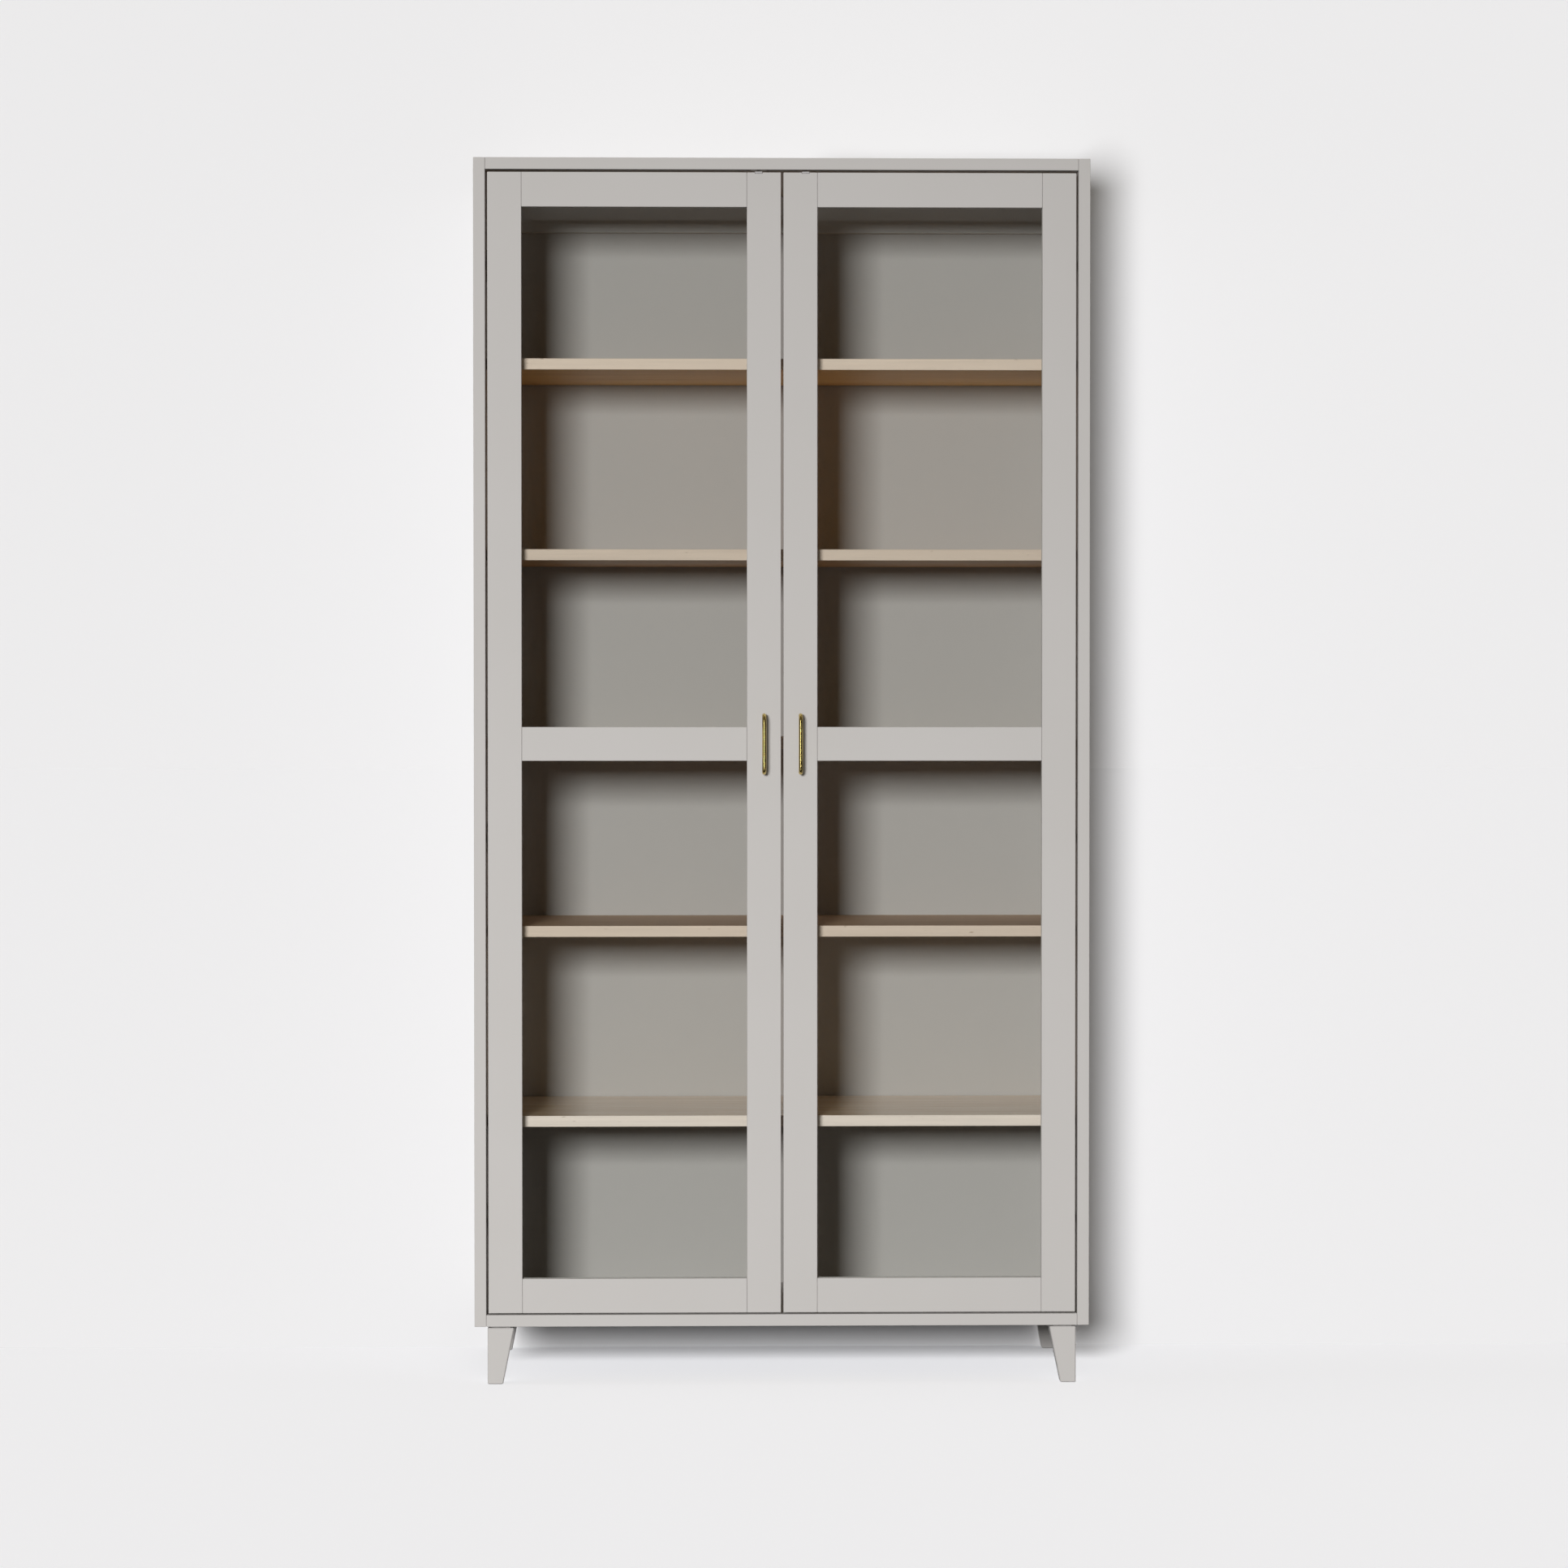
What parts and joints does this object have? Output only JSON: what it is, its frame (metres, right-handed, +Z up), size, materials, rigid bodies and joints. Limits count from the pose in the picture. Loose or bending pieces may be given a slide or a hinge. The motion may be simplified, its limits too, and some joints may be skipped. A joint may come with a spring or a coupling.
{
  "type": "tall display cabinet",
  "caption": "Tall painted display cabinet on tapered legs, with inset glazed frame doors, concealed hinges, bow handles and wooden shelves.",
  "frame": {"origin": "on the floor, under the middle of the overall box, handles included", "axes": "+Z up, +X to the right as seen from the front, -Y to the front where the doors open"},
  "size_m": [1, 0.4288, 1.99],
  "materials": {
    "greige_lacquer": "satin lacquer on board",
    "birch_veneer": "clear matt lacquer",
    "clear_glass": "polished",
    "polished_brass": "polished",
    "nickel_plate": "nickel plated",
    "pale_nylon": "moulded, satin"
  },
  "bodies": {
    "case": {"left_side": "greige_lacquer", "right_side": "greige_lacquer", "top_panel": "greige_lacquer", "bottom_panel": "greige_lacquer", "back_panel": "greige_lacquer", "rear_rail": "greige_lacquer", "middle_shelf": "birch_veneer", "shelf_1": "birch_veneer", "shelf_2": "birch_veneer", "shelf_3": "birch_veneer", "shelf_4": "birch_veneer", "front_left_leg": "greige_lacquer", "front_right_leg": "greige_lacquer", "rear_left_leg": "greige_lacquer", "rear_right_leg": "greige_lacquer", "left_strike_plate": "nickel_plate", "right_strike_plate": "nickel_plate", "left_hinge_arm_1": "nickel_plate", "left_hinge_arm_2": "nickel_plate", "left_hinge_arm_3": "nickel_plate", "right_hinge_arm_1": "nickel_plate", "right_hinge_arm_2": "nickel_plate", "right_hinge_arm_3": "nickel_plate", "left_hinge_plate_1": "nickel_plate", "left_hinge_plate_2": "nickel_plate", "left_hinge_plate_3": "nickel_plate", "right_hinge_plate_1": "nickel_plate", "right_hinge_plate_2": "nickel_plate", "right_hinge_plate_3": "nickel_plate"},
    "left_door": {"left_hinge_stile": "greige_lacquer", "left_meeting_stile": "greige_lacquer", "left_top_rail": "greige_lacquer", "left_middle_rail": "greige_lacquer", "left_bottom_rail": "greige_lacquer", "left_upper_glass": "clear_glass", "left_lower_glass": "clear_glass", "left_upper_bead": "greige_lacquer", "left_lower_bead": "greige_lacquer", "left_handle": "polished_brass", "left_hinge_cup_1": "nickel_plate", "left_hinge_cup_2": "nickel_plate", "left_hinge_cup_3": "nickel_plate", "left_catch_housing": "pale_nylon"},
    "right_door": {"right_hinge_stile": "greige_lacquer", "right_meeting_stile": "greige_lacquer", "right_top_rail": "greige_lacquer", "right_middle_rail": "greige_lacquer", "right_bottom_rail": "greige_lacquer", "right_upper_glass": "clear_glass", "right_lower_glass": "clear_glass", "right_upper_bead": "greige_lacquer", "right_lower_bead": "greige_lacquer", "right_handle": "polished_brass", "right_hinge_cup_1": "nickel_plate", "right_hinge_cup_2": "nickel_plate", "right_hinge_cup_3": "nickel_plate", "right_catch_housing": "pale_nylon"},
    "left_ball": {"left_catch_ball": "nickel_plate"},
    "right_ball": {"right_catch_ball": "nickel_plate"}
  },
  "joints": [
    {"name": "left_door_swing", "type": "hinge", "parent": "case", "child": "left_door", "pos_m": [-0.4573, -0.1752, 1.0412], "axis": [0, 0, -1], "range_deg": [0, 95]},
    {"name": "right_door_swing", "type": "hinge", "parent": "case", "child": "right_door", "pos_m": [0.4573, -0.1752, 1.0412], "axis": [0, 0, 1], "range_deg": [0, 95]},
    {"name": "left_ball_press", "type": "slide", "parent": "left_door", "child": "left_ball", "axis": [0, 0, -1], "range_m": [0, 0.0012], "stiffness_N_per_m": 600, "springref_m": -0.003},
    {"name": "right_ball_press", "type": "slide", "parent": "right_door", "child": "right_ball", "axis": [0, 0, -1], "range_m": [0, 0.0012], "stiffness_N_per_m": 600, "springref_m": -0.003}
  ]
}
